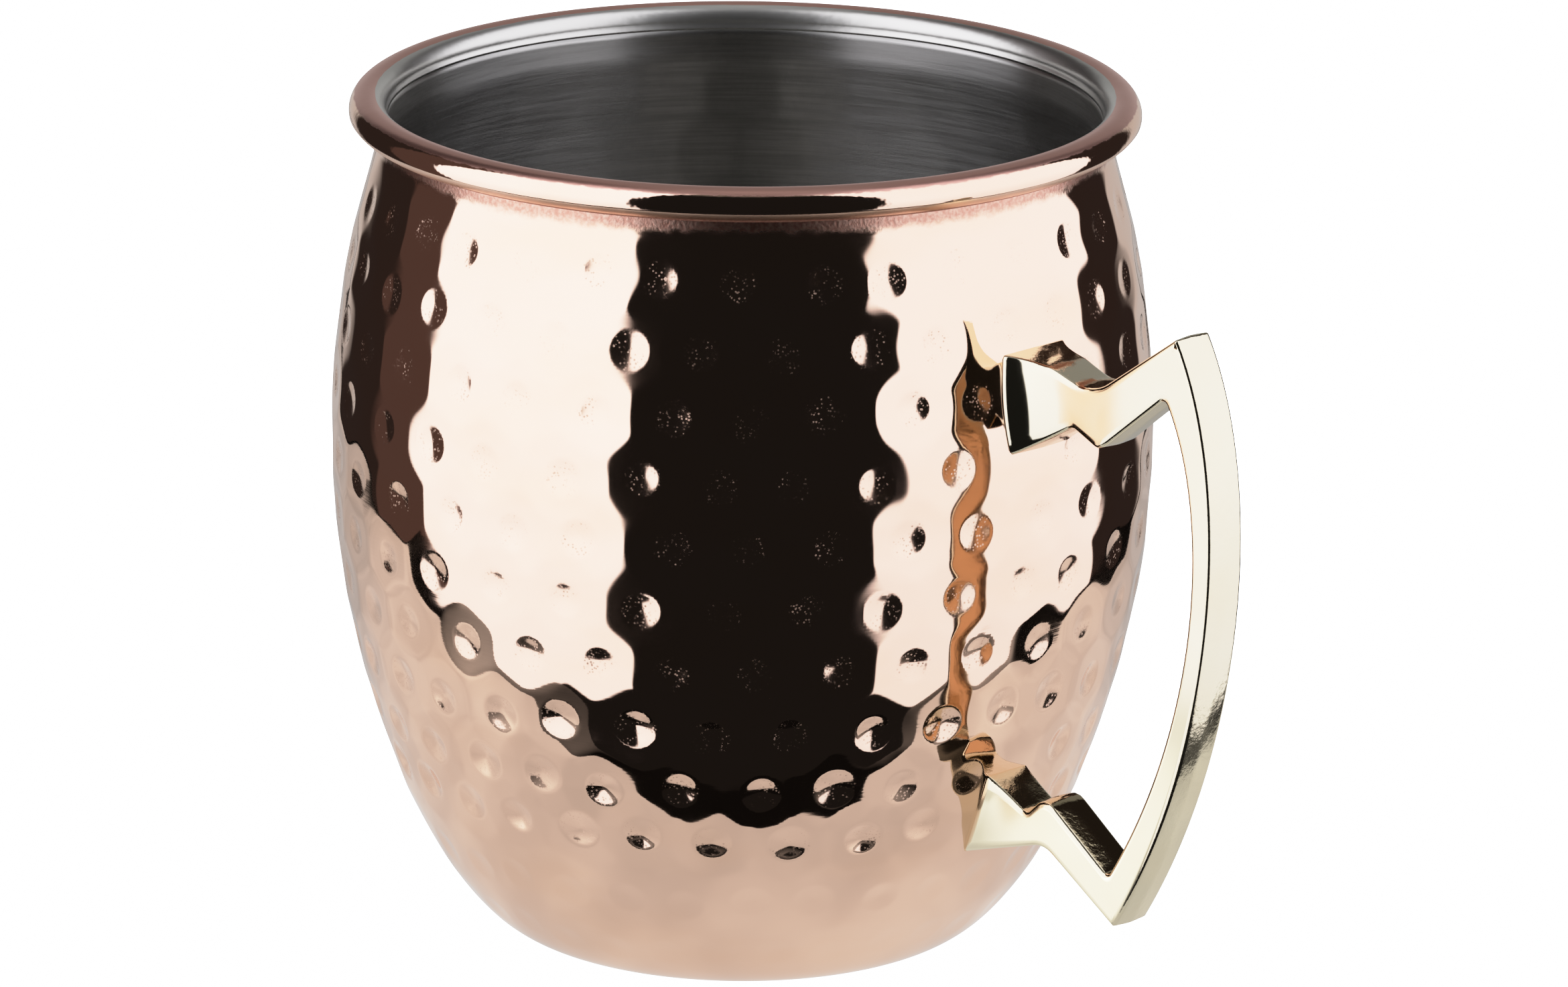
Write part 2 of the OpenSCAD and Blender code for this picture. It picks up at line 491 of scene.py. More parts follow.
def copper_material():
    material, tree, shader = new_material("hammered_copper")
    # The dull band under the bead and the matte lip on it have ragged edges
    ragged = object_noise(tree, RAGGED_SCALE, (1.0, 1.0, 1.6), 3.0)
    ragged = ramp(tree, ragged, 0.3, 0.7, -RAGGED_SHARE, RAGGED_SHARE)
    dull = ramp(tree, math_node(tree, "ADD", attribute(tree, "band"), ragged), 0.2, 0.9)
    matte = ramp(tree, math_node(tree, "ADD", attribute(tree, "lip"), ragged), 0.3, 0.6)
    grime = object_noise(tree, GRIME_SCALE, detail=3.0)
    smear = object_noise(tree, SMEAR_SCALE, (1.0, 1.0, 2.5), 3.0)

    lines = object_noise(tree, LATHE_SCALE, (1.0, 1.0, 55.0), 3.0)
    uneven = object_noise(tree, UNEVEN_SCALE, (1.0, 1.0, 1.8), 3.0, 0.6)
    on_bead = ramp(tree, object_height(tree), *BEAD_START)
    normal = bump(tree, lines, *LATHE_BUMP)
    for height, (distance, strength), share in (
        (uneven, UNEVEN_BUMP, on_bead),
        (grime, GRIME_BUMP, dull),
    ):
        share = math_node(tree, "MULTIPLY", share, strength)
        normal = bump(tree, height, distance, share, normal)

    link = tree.links.new
    link(copper_colour(tree, smear, grime, dull, matte, ragged), shader.inputs["Base Color"])
    link(copper_roughness(tree, smear, dull, matte), shader.inputs["Roughness"])
    link(normal, shader.inputs["Normal"])
    shader.inputs["Metallic"].default_value = 1.0
    return material


STEEL_DARK = (0.50, 0.49, 0.465, 1.0)
STEEL_LIGHT = (0.62, 0.605, 0.58, 1.0)
STEEL_LINE = (0.34, 0.335, 0.315, 1.0)
STEEL_ROUGH = (0.28, 0.38)
BROAD_SCALE = 30.0
BROAD_BUMP = (0.00008, 0.2)
BRUSH_SCALE = 70.0
BRUSH_BUMP = (0.00002, 0.3)


def steel_material():
    """Steel brushed round the axis, so its noise is stretched along the lines."""
    material, tree, shader = new_material("brushed_steel")
    link = tree.links.new
    broad = object_noise(tree, BROAD_SCALE, (1.0, 1.0, 14.0), 3.0, 0.6)
    fine = object_noise(tree, BRUSH_SCALE, (1.0, 1.0, 42.0), 4.0, 0.7)
    steel = mix_colour(tree, ramp(tree, broad, 0.3, 0.7), STEEL_DARK, STEEL_LIGHT)
    steel = mix_colour(tree, ramp(tree, fine, 0.35, 0.65, 0.0, 0.4), steel, STEEL_LINE)
    link(steel, shader.inputs["Base Color"])
    link(ramp(tree, fine, 0.3, 0.7, *STEEL_ROUGH), shader.inputs["Roughness"])
    normal = bump(tree, fine, *BRUSH_BUMP)
    normal = bump(tree, broad, *BROAD_BUMP, normal)
    link(normal, shader.inputs["Normal"])
    around = add(tree, "ShaderNodeTangent", direction_type="RADIAL", axis="Z")
    link(around.outputs["Tangent"], shader.inputs["Tangent"])
    shader.inputs["Metallic"].default_value = 1.0
    shader.inputs["Anisotropic"].default_value = 0.9
    shader.inputs["Anisotropic Rotation"].default_value = 0.25
    return material


BRASS_PALE = (0.80, 0.725, 0.54, 1.0)
BRASS_WARM = (0.79, 0.70, 0.505, 1.0)
# Darker brass for the inner narrow face, as painted shade in the gap by the wall
BRASS_INNER_SHADE = (0.45, 0.375, 0.235, 1.0)
BRASS_ROUGH = (0.08, 0.12)
NARROW_ROUGH = -0.02
CLOUD_SCALE = 70.0
CASTING_SCALE = 1100.0
CASTING_BUMP = (0.00010, 0.30)


def brass_material():
    """Polished brass. The attribute edge is 0 on the sides, 1 on the outer and 2 on the inner
    narrow face: both are glossier and less even, and the inner one, which faces the wall, is
    darkened with painted shade."""
    material, tree, shader = new_material("cast_brass")
    link = tree.links.new
    edge = attribute(tree, "edge")
    narrow = math_node(tree, "MINIMUM", edge, 1.0)
    cloud = object_noise(tree, CLOUD_SCALE, detail=3.0)
    casting = object_noise(tree, CASTING_SCALE, detail=4.0, rough=0.6)
    colour = mix_colour(tree, ramp(tree, cloud, 0.35, 0.7), BRASS_PALE, BRASS_WARM)
    # Painted shade: the inner narrow face, towards the wall, gets the darker brass
    colour = mix_colour(tree, ramp(tree, edge, 1.2, 1.8), colour, BRASS_INNER_SHADE)
    link(colour, shader.inputs["Base Color"])
    rough = ramp(tree, cloud, 0.3, 0.75, *BRASS_ROUGH)
    rough = math_node(tree, "ADD", rough, math_node(tree, "MULTIPLY", narrow, NARROW_ROUGH))
    link(rough, shader.inputs["Roughness"])
    distance, strength = CASTING_BUMP
    pits = math_node(tree, "MULTIPLY", narrow, strength)
    link(bump(tree, casting, distance, pits), shader.inputs["Normal"])
    shader.inputs["Metallic"].default_value = 1.0
    return material


STUD_DARK = (0.42, 0.42, 0.43, 1.0)
STUD_LIGHT = (0.58, 0.58, 0.60, 1.0)
STUD_ROUGH = (0.25, 0.4)
TURNING_SCALE = 300.0


def stud_material():
    material, tree, shader = new_material("turned_steel")
    turned = object_noise(tree, TURNING_SCALE, (12.0, 1.0, 1.0), 3.0)
    colour = mix_colour(tree, turned, STUD_DARK, STUD_LIGHT)
    tree.links.new(colour, shader.inputs["Base Color"])
    tree.links.new(ramp(tree, turned, 0.3, 0.7, *STUD_ROUGH), shader.inputs["Roughness"])
    shader.inputs["Metallic"].default_value = 1.0
    return material


# ---------------------------------------------------------------- jacket

# Mesh steps: along the hammered wall, along the hidden faces, over the base, and round the axis
WALL_STEP = 0.36
HIDDEN_STEP = 3.0
BASE_STEP = 3.5
BASE_MARGIN = 0.4
COLUMNS = 792


def offset_wall(depth, step):
    """Points of the wall's curve, depth inside it, with the run along the outside."""
    points = resample_step(WALL, step)
    inward = left_normals(points)
    return points + depth * inward, inward, arc_length(points)


# The bead's outline as arcs that follow on from each other, from its inside over its top: the
# angles where they meet, then each one's radius and number of steps. Its underside is flatter.
BEAD_TURNS = (180.0, -12.0, -34.0, -76.0, -125.0)
BEAD_RADII = (BEAD_R, 0.35, 3.0, 0.7)
BEAD_STEPS = (44, 8, 16, 8)
NECK_WAIST = (NECK_R - 0.1, BEAD_H - BEAD_R + 0.45)


def bead_outline():
    """The outline of the neck, the bead and the lip on its inside, from the neck up."""
    point = np.array([BEAD_RING_R - BEAD_R, BEAD_H])
    chain = [point]
    for start, end, radius, steps in zip(BEAD_TURNS, BEAD_TURNS[1:], BEAD_RADII, BEAD_STEPS):
        first = np.array([math.cos(math.radians(start)), math.sin(math.radians(start))])
        for turn in np.radians(np.linspace(start, end, steps + 1)[1:]):
            way = np.array([math.cos(turn), math.sin(turn)])
            chain.append(point + radius * (way - first))
        point = chain[-1]
    ring = np.array(chain)[::-1]
    neck = resample(((NECK_R, NECK_H), NECK_WAIST, ring[0]), 9)[1:-1]
    lip = resample((ring[-1], (MOUTH_R, LINER_EDGE_H)), 4)[1:]
    return neck, ring, lip


def base_rings(edge, height, outward):
    """Rings of a flat disc, from the axis out to edge, or back in."""
    radii = np.arange(BASE_STEP, edge - BASE_MARGIN - 0.1, BASE_STEP)
    radii = np.append(radii, edge - BASE_MARGIN)
    rings = [(np.full(COLUMNS, r), np.full(COLUMNS, height)) for r in radii]
    return rings if outward else rings[::-1]


def axis_point(height):
    return (np.zeros(COLUMNS), np.full(COLUMNS, height))


def flat_ring(point):
    return (np.full(COLUMNS, point[0]), np.full(COLUMNS, point[1]))


def moved_rings(points, inward, depth):
    """Rings at points, each vertex moved inward by depth."""
    return [(p[0] + n[0] * d, p[1] + n[1] * d) for p, n, d in zip(points, inward, depth)]


def set_attribute(piece, name, values):
    layer = piece.data.attributes.new(name, "FLOAT", "POINT")
    layer.data.foreach_set("value", np.asarray(values, np.float32))


# Where the bead's finishes start and stop, as angles round its section from its outermost point
LIP_START = (34.0, 56.0)
INNER_START = (108.0, 128.0)
UNDER_START = (-8.0, -22.0)
UNDER_END = -100.0
BAND_START = (NECK_H - 0.6, NECK_H + 1.0)
BAND_END = BEAD_H - 0.72 * BEAD_R + 0.1


def share_between(value, limits):
    """0 at the first of limits and before it, 1 at the second and beyond it."""
    start, end = limits
    return np.clip((value - start) / (end - start), 0.0, 1.0)


def mark_finishes(piece, verts):
    """Masks for the dull band under the bead, the matte lip on it, the steel inside it and its
    rough underside."""
    where = np.asarray(verts)
    height = where[:, 2]
    radius = np.hypot(where[:, 0], where[:, 1])
    fold = np.degrees(np.arctan2(height - BEAD_H, radius - BEAD_RING_R))
    band = share_between(height, BAND_START) * (height < BAND_END)
    set_attribute(piece, "band", band * (radius > MOUTH_R + 0.2))
    over = share_between(fold, LIP_START) * (height > BEAD_H - 0.1)
    mouth = (radius < MOUTH_R + 0.3) * (height > NECK_H)
    set_attribute(piece, "lip", np.maximum(over, mouth))
    inside_bead = share_between(fold, INNER_START) * (height > BEAD_H)
    inside_lip = (radius < BEAD_RING_R - 0.9) * (height > LINER_EDGE_H - 0.1)
    set_attribute(piece, "inner", np.maximum(inside_bead, inside_lip))
    below = share_between(fold, UNDER_START) * (fold > UNDER_END)
    set_attribute(piece, "under", below * (height > BEAD_H - 1.1 * BEAD_R))


def make_jacket(dents, material):
    points, inward, run = offset_wall(0.0, WALL_STEP)
    bowl, cap, mask = dent_fields(run, COLUMNS, dents)
    outside = moved_rings(points, inward, bowl + cap)
    bead = [flat_ring(p) for p in np.vstack(bead_outline())]
    step = flat_ring((MOUTH_R + LINER_T, LINER_EDGE_H))
    inner, inner_in, inner_run = offset_wall(JACKET_T, HIDDEN_STEP)
    soft = THROUGH * dent_fields(inner_run, COLUMNS, dents)[0]
    inside = moved_rings(inner, inner_in, soft)[::-1][:-1]

    base = base_rings(BASE_R, 0.0, True)
    rings = [axis_point(0.0)] + base + outside + bead + [step]
    rings += inside + base_rings(BASE_R, JACKET_T, False) + [axis_point(JACKET_T)]
    verts, faces = lathe_mesh(rings, COLUMNS)
    piece = new_object("jacket", verts, faces, material)

    first = 1 + COLUMNS * len(base)
    dent = np.zeros(len(verts))
    dent[first:first + mask.size] = mask.ravel()
    set_attribute(piece, "dent", dent)
    mark_finishes(piece, verts)
    return piece


# ---------------------------------------------------------------- liner

LINER_STEP = 0.8


def make_liner(dents, material):
    outer, outer_in, outer_run = offset_wall(JACKET_T, HIDDEN_STEP)
    inner, inner_in, inner_run = offset_wall(JACKET_T + LINER_T, LINER_STEP)
    outer_soft = THROUGH * dent_fields(outer_run, COLUMNS, dents)[0]
    inner_soft = THROUGH * dent_fields(inner_run, COLUMNS, dents)[0]
    outside = moved_rings(outer, outer_in, outer_soft)[1:]
    inside = moved_rings(inner, inner_in, inner_soft)[::-1][:-1]
    neck_out = resample((outer[-1], (MOUTH_R + LINER_T, LINER_EDGE_H)), 4)[1:]
    neck_in = resample(((MOUTH_R, LINER_EDGE_H), inner[-1]), 6)[:-1]
    floor = JACKET_T + LINER_T
    rings = [axis_point(JACKET_T)] + base_rings(BASE_R, JACKET_T, True) + outside
    rings += [flat_ring(p) for p in np.vstack([neck_out, neck_in])] + inside
    rings += base_rings(BASE_R, floor, False) + [axis_point(floor)]
    verts, faces = lathe_mesh(rings, COLUMNS)
    return new_object("liner", verts, faces, material)


# ---------------------------------------------------------------- handle

# Corners of the handle's side view as (x, z), then the way each side runs on into the wall
UPPER_BROW = (48.5, 73.0)
UPPER_DIP = (53.9, 71.1)
UPPER_NOTCH = (51.5, 66.7)
UPPER_TOE = (55.3, 64.9)
LOWER_BEND = (48.2, 19.4)
LOWER_NOTCH = (45.7, 22.7)
LOWER_CREST = (48.3, 25.2)
UPPER_TOP_WAY = (41.0, 74.0)
UPPER_LOW_WAY = (41.0, 60.5)
LOWER_TOP_WAY = (34.0, 29.6)
LOWER_LOW_WAY = (34.0, 15.2)

# The grip's two edges, each as the control points of one curve
GRIP_OUTSIDE = ((66.0, 79.7), (75.5, 64.0), (72.5, 34.0), (58.7, 12.5))
GRIP_INSIDE = ((64.4, 72.4), (71.4, 60.7), (70.0, 38.0), (57.6, 18.4))
GRIP_T = np.linspace(0.012, 0.988, 120)

# Radius of each corner, and the number of points on its arc
BROW_ROUND = (8.0, 9)
DIP_ROUND = (5.5, 17)
TIP_ROUND = (0.5, 9)
BEND_ROUND = (3.0, 15)
UPPER_NOTCH_ROUND = (0.6, 7)
TOE_ROUND = (1.5, 9)
CREST_ROUND = (2.0, 13)
LOWER_NOTCH_ROUND = (0.5, 7)

# Stations along each stretch of the handle, from the upper foot to the lower one
STATIONS = (16, 20, 14, 9, 70, 9, 14, 16, 16)
FOOT_STATIONS = STATIONS[0] - 1

HALVINGS = 50
FOOT_SEARCH = 1.6
SEAT_SEARCH = (-3.0, 6.0)


def rounded(before, corner, after, radius, count):
    """Arc of count points that rounds corner between before and after."""
    before, corner, after = (np.asarray(p, float) for p in (before, corner, after))
    u = (before - corner) / np.linalg.norm(before - corner)
    v = (after - corner) / np.linalg.norm(after - corner)
    half = math.acos(float(np.clip(u @ v, -1, 1))) / 2
    mid = (u + v) / np.linalg.norm(u + v)
    centre = corner + mid * radius / math.sin(half)
    first = corner + u * radius / math.tan(half) - centre
    last = corner + v * radius / math.tan(half) - centre
    k = np.linspace(0.0, 1.0, count)[:, None]
    way = (1 - k) * first + k * last
    return centre + radius * way / np.linalg.norm(way, axis=1)[:, None]


def foot_point(way, corner):
    """Where the line from corner towards way meets the wall, FOOT_SINK inside it."""
    way, corner = np.asarray(way, float), np.asarray(corner, float)
    near, far = 0.0, FOOT_SEARCH
    for _ in range(HALVINGS):
        k = (near + far) / 2
        p = corner + k * (way - corner)
        if p[0] > wall_r(p[1]) - FOOT_SINK:
            near = k
        else:
            far = k
    return corner + near * (way - corner)


def halves(arc):
    """An arc in two, which both hold its middle point."""
    middle = len(arc) // 2
    return arc[:middle + 1], arc[middle:]


def joined(stretches):
    """One polyline through stretches, with STATIONS points on them."""
    parts = [resample(points, count)[:-1] for points, count in zip(stretches, STATIONS)]
    return np.vstack(parts + [stretches[-1][-1:]])


def outer_side():
    """The handle's outer edge from the upper foot to the lower one."""
    tip, low_tip = GRIP_OUTSIDE[0], GRIP_OUTSIDE[3]
    start = foot_point(UPPER_TOP_WAY, UPPER_BROW)
    brow = rounded(UPPER_TOP_WAY, UPPER_BROW, UPPER_DIP, *BROW_ROUND)
    dip = rounded(UPPER_BROW, UPPER_DIP, tip, *DIP_ROUND)
    tip_arc = rounded(UPPER_DIP, tip, GRIP_OUTSIDE[1], *TIP_ROUND)
    grip = cubic(GRIP_OUTSIDE, GRIP_T)
    low_tip_arc = rounded(GRIP_OUTSIDE[2], low_tip, LOWER_BEND, *TIP_ROUND)
    bend = rounded(low_tip, LOWER_BEND, LOWER_LOW_WAY, *BEND_ROUND)
    end = foot_point(LOWER_LOW_WAY, LOWER_BEND)
    return joined([
        np.vstack([start, brow]),
        np.vstack([brow[-1], dip]),
        np.vstack([dip[-1], tip_arc[0]]),
        tip_arc,
        np.vstack([tip_arc[-1], grip, low_tip_arc[0]]),
        low_tip_arc,
        np.vstack([low_tip_arc[-1], bend[0]]),
        bend,
        np.vstack([bend[-1], end]),
    ])


def inner_side():
    """The handle's inner edge, whose stations match those of the outer one."""
    corner, low_corner = GRIP_INSIDE[0], GRIP_INSIDE[3]
    start = foot_point(UPPER_LOW_WAY, UPPER_NOTCH)
    notch = halves(rounded(UPPER_LOW_WAY, UPPER_NOTCH, UPPER_TOE, *UPPER_NOTCH_ROUND))
    toe = halves(rounded(UPPER_NOTCH, UPPER_TOE, corner, *TOE_ROUND))
    corner_arc = rounded(UPPER_TOE, corner, GRIP_INSIDE[1], *TIP_ROUND)
    grip = cubic(GRIP_INSIDE, GRIP_T)
    low_corner_arc = rounded(GRIP_INSIDE[2], low_corner, LOWER_CREST, *TIP_ROUND)
    crest = halves(rounded(low_corner, LOWER_CREST, LOWER_NOTCH, *CREST_ROUND))
    low_notch = halves(rounded(LOWER_CREST, LOWER_NOTCH, LOWER_TOP_WAY, *LOWER_NOTCH_ROUND))
    end = foot_point(LOWER_TOP_WAY, LOWER_NOTCH)
    return joined([
        np.vstack([start, notch[0]]),
        np.vstack([notch[1], toe[0]]),
        np.vstack([toe[1], corner_arc[0]]),
        corner_arc,
        np.vstack([corner_arc[-1], grip, low_corner_arc[0]]),
        low_corner_arc,
        np.vstack([low_corner_arc[-1], crest[0]]),
        np.vstack([crest[1], low_notch[0]]),
        np.vstack([low_notch[1], end]),
    ])


ARMS_PART_H = BELLY_H - 10.0
FLARE_AT_EDGE = 0.86
FLARE_SWELL = 0.9


def handle_half(x, z, v):
    """Half thickness at a point of the side, v = 0 at the outer edge and 1 at the inner one."""
    gap = np.maximum(x - wall_r(z), 0.0)
    swell = FLARE_AT_EDGE + FLARE_SWELL * v * (1.0 - v)
    flare = np.where(z > ARMS_PART_H, UPPER_FLARE, LOWER_FLARE)
    return HANDLE_T / 2 + flare * swell * np.exp(-gap / FLARE_RUN)


NARROW_STEPS = np.linspace(-1.0, 1.0, 13)
SIDE_STEPS = np.linspace(0.0, 1.0, 11)
EDGE_TURNS = np.radians([30.0, 60.0])
EDGE_MASK = 0.6


def handle_section(out, inn, out_way, in_way):
    """One closed loop of points round the handle at a station: [x, y, z] and an edge mask."""
    loop = []
    mask = []

    def across(edge, way, v, sign):
        """Over one narrow face, from y = -sign to +sign, with a low roof along its middle."""
        half = float(handle_half(edge[0], edge[1], v))
        for k in NARROW_STEPS:
            p = edge - way * (POLISHED_OFF + CROWN * abs(k) ** CROWN_POWER)
            loop.append((p[0], sign * k * (half - EDGE_ROUND), p[1]))
            mask.append(1.0 + v)

    def corner(edge, way, v, sign, turns):
        """Round the edge between a narrow face and a side."""
        half = float(handle_half(edge[0], edge[1], v))
        for a in turns:
            p = edge - way * (CROWN + EDGE_ROUND * (1 - math.cos(a)))
            loop.append((p[0], sign * (half - EDGE_ROUND * (1 - math.sin(a))), p[1]))
            mask.append(EDGE_MASK)

    def side(start, end, sign, v_from, v_to):
        """Over one side, from start to end."""
        for k in SIDE_STEPS:
            p = start + (end - start) * k
            half = float(handle_half(p[0], p[1], v_from + (v_to - v_from) * k))
            loop.append((p[0], sign * half, p[1]))
            mask.append(0.0)

    out_in = out - out_way * (CROWN + EDGE_ROUND)
    inn_in = inn - in_way * (CROWN + EDGE_ROUND)
    down, back = EDGE_TURNS, EDGE_TURNS[::-1]
    across(out, out_way, 0.0, 1.0)
    corner(out, out_way, 0.0, 1.0, down)
    side(out_in, inn_in, 1.0, 0.0, 1.0)
    corner(inn, in_way, 1.0, 1.0, back)
    across(inn, in_way, 1.0, -1.0)
    corner(inn, in_way, 1.0, -1.0, down)
    side(inn_in, out_in, -1.0, 1.0, 0.0)
    corner(out, out_way, 0.0, -1.0, back)
    return np.array(loop), np.array(mask)


def seat_slides(root, beyond):
    """How far each point of a foot's end loop slides along the arm to meet the wall, as
    vectors. beyond is the same loop further out along the arm."""
    way = root - beyond
    way[:, 1] = 0.0
    way /= np.linalg.norm(way, axis=1)[:, None]
    near, far = (np.full(len(root), limit) for limit in SEAT_SEARCH)
    for _ in range(HALVINGS):
        middle = (near + far) / 2
        spot = root + middle[:, None] * way
        outside = np.hypot(spot[:, 0], spot[:, 1]) > wall_r(spot[:, 2]) - FOOT_SINK
        near = np.where(outside, middle, near)
        far = np.where(outside, far, middle)
    return near[:, None] * way


def handle_loops():
    """Every station's loop with its feet seated on the wall, and every loop's edge mask."""
    outer, inner = outer_side(), inner_side()
    stations = zip(outer, inner, left_normals(outer), -left_normals(inner))
    loops, masks = zip(*(handle_section(*station) for station in stations))
    beyond = FOOT_STATIONS // 2
    upper_slide = seat_slides(loops[0], loops[beyond])
    lower_slide = seat_slides(loops[-1], loops[-1 - beyond])
    for k in range(FOOT_STATIONS):
        share = 1.0 - k / FOOT_STATIONS
        loops[k][:] += upper_slide * share
        loops[-1 - k][:] += lower_slide * share
    return loops, masks


def make_handle(material):
    loops, masks = handle_loops()
    around = len(loops[0])
    ends = (len(loops) - 1) * around
    faces = []
    for low in range(0, ends, around):
        high = low + around
        for j in range(around):
            n = (j + 1) % around
            faces.append((low + j, high + j, high + n, low + n))
    faces.append(tuple(range(around)))
    faces.append(tuple(ends + j for j in reversed(range(around))))
    piece = new_object("cast_handle", np.vstack(loops), faces, material)
    set_attribute(piece, "edge", np.concatenate(masks))
    tidy = bmesh.new()
    tidy.from_mesh(piece.data)
    caps = [f for f in tidy.faces if len(f.verts) > 4]
    bmesh.ops.triangulate(tidy, faces=caps)
    bmesh.ops.recalc_face_normals(tidy, faces=tidy.faces)
    tidy.to_mesh(piece.data)
    tidy.free()
    return piece


# ---------------------------------------------------------------- stage

def camera_axes():
    """The camera's place and its right, up and forward directions, in millimetres."""
    toward = Vector((math.cos(CAMERA_AZIMUTH), math.sin(CAMERA_AZIMUTH), 0.0))
    place = toward * CAMERA_DISTANCE * math.cos(CAMERA_ELEVATION)
    place.z = AIM_H + CAMERA_DISTANCE * math.sin(CAMERA_ELEVATION)
    forward = (Vector((0.0, 0.0, AIM_H)) - place).normalized()
    right = forward.cross(Vector((0.0, 0.0, 1.0))).normalized()
    up = right.cross(forward)
    aim = Vector((0.0, 0.0, AIM_H)) + right * AIM_RIGHT + up * AIM_UP
    forward = (aim - place).normalized()
    right = forward.cross(Vector((0.0, 0.0, 1.0))).normalized()
    up = right.cross(forward)
    turned_right = right * math.cos(CAMERA_ROLL) + up * math.sin(CAMERA_ROLL)
    turned_up = up * math.cos(CAMERA_ROLL) - right * math.sin(CAMERA_ROLL)
    return place, turned_right, turned_up, forward


def make_camera():
    place, right, up, forward = camera_axes()
    data = bpy.data.cameras.new("camera")
    data.lens = CAMERA_LENS
    data.sensor_width = SENSOR_WIDTH
    data.clip_start, data.clip_end = CLIP_RANGE
    camera = bpy.data.objects.new("camera", data)
    frame_axes = Matrix((right, up, -forward)).transposed().to_4x4()
    frame_axes.translation = place * MM
    camera.matrix_world = frame_axes
    bpy.context.scene.collection.objects.link(camera)
    bpy.context.scene.camera = camera


# The studio that the metal sees, as angles in degrees round the mug: azimuths are measured from
# the camera's side, and are positive to its right. Two numbers are where something starts and
# ends, or where a change does.
LEFT_BOX = (-99.0, -33.0)
RIGHT_BOX = (41.0, 116.0)
BOX_SOFT = 1.0
LEFT_BOX_LIGHT = 1.75
RIGHT_BOX_LIGHT = 1.5
BOX_COLOUR = (1.0, 1.0, 1.08)
BOX_TOP = (69.0, 75.0)
BOX_FOOT = (-37.5, -35.5)
BOX_DIMMING = (-35.0, 5.0)
BOX_LOW_SHARE = 0.82
BACK_LEFT = (-156.0, -148.0)
BACK_RIGHT = (142.0, 148.0)
BACK_DIMMING = (2.0, 24.0)
BACK_LIGHT = (0.55, 0.28)
CEILING = (62.0, 80.0)
CEILING_LIGHT = 0.25
ROOM_LIGHT = 0.010
BROWN_GAP = (-121.0, -99.0)
BROWN_GAP_LIGHT = 0.07
DARK_GAPS = ((116.0, 145.0), (-152.0, -121.0))
DARK_GAP_LIGHT = 0.014
GAP_COLOUR = (1.0, 0.62, 0.56)
GAP_SOFT = 1.5
BACKDROP_LIGHT = 4.0


def dot(tree, vector, direction):
    """How far vector goes along direction."""
    node = add(tree, "ShaderNodeVectorMath", operation="DOT_PRODUCT")
    tree.links.new(vector, node.inputs[0])
    node.inputs[1].default_value = direction
    return node.outputs["Value"]


def scaled_colour(tree, colour, share):
    node = add(tree, "ShaderNodeVectorMath", operation="SCALE")
    node.inputs[0].default_value = colour
    tree.links.new(share, node.inputs["Scale"])
    return node.outputs[0]


def colour_sum(tree, first, second):
    node = add(tree, "ShaderNodeVectorMath", operation="ADD")
    tree.links.new(first, node.inputs[0])
    tree.links.new(second, node.inputs[1])
    return node.outputs[0]


def window(tree, value, low, high, soft):
    """1 from low to high, and 0 outside them, with edges soft to each side."""
    rise = ramp(tree, value, low - soft, low + soft)
    fall = ramp(tree, value, high - soft, high + soft, 1.0, 0.0)
    return math_node(tree, "MULTIPLY", rise, fall)


def soft_boxes(tree, azimuth, elevation):
    left = window(tree, azimuth, *LEFT_BOX, BOX_SOFT)
    right = window(tree, azimuth, *RIGHT_BOX, BOX_SOFT)
    both = math_node(tree, "ADD", math_node(tree, "MULTIPLY", left, LEFT_BOX_LIGHT),
                     math_node(tree, "MULTIPLY", right, RIGHT_BOX_LIGHT))
    height = math_node(tree, "MULTIPLY", ramp(tree, elevation, *BOX_TOP, 1.0, 0.0),
                       ramp(tree, elevation, *BOX_DIMMING, BOX_LOW_SHARE, 1.0))
    height = math_node(tree, "MULTIPLY", height, ramp(tree, elevation, *BOX_FOOT))
    return scaled_colour(tree, BOX_COLOUR, math_node(tree, "MULTIPLY", both, height))


def back_wall(tree, azimuth, elevation):
    """The pale wall behind the mug, the ceiling, and the little light from everywhere."""
    width = math_node(tree, "ADD", ramp(tree, azimuth, *BACK_LEFT, 1.0, 0.0),
                      ramp(tree, azimuth, *BACK_RIGHT))
    back = math_node(tree, "MULTIPLY", width,
                     ramp(tree, elevation, *BACK_DIMMING, *BACK_LIGHT))
    ceiling = ramp(tree, elevation, *CEILING, 0.0, CEILING_LIGHT)
    return math_node(tree, "ADD", math_node(tree, "ADD", back, ceiling), ROOM_LIGHT)


def gap_light(tree, azimuth):
    """The dim warm light between the boxes and the back wall."""
    brown = window(tree, azimuth, *BROWN_GAP, GAP_SOFT)
    right, left = (window(tree, azimuth, *gap, GAP_SOFT) for gap in DARK_GAPS)
    dark = math_node(tree, "MULTIPLY", math_node(tree, "ADD", right, left), DARK_GAP_LIGHT)
    light = math_node(tree, "ADD", math_node(tree, "MULTIPLY", brown, BROWN_GAP_LIGHT), dark)
    return scaled_colour(tree, GAP_COLOUR, light)


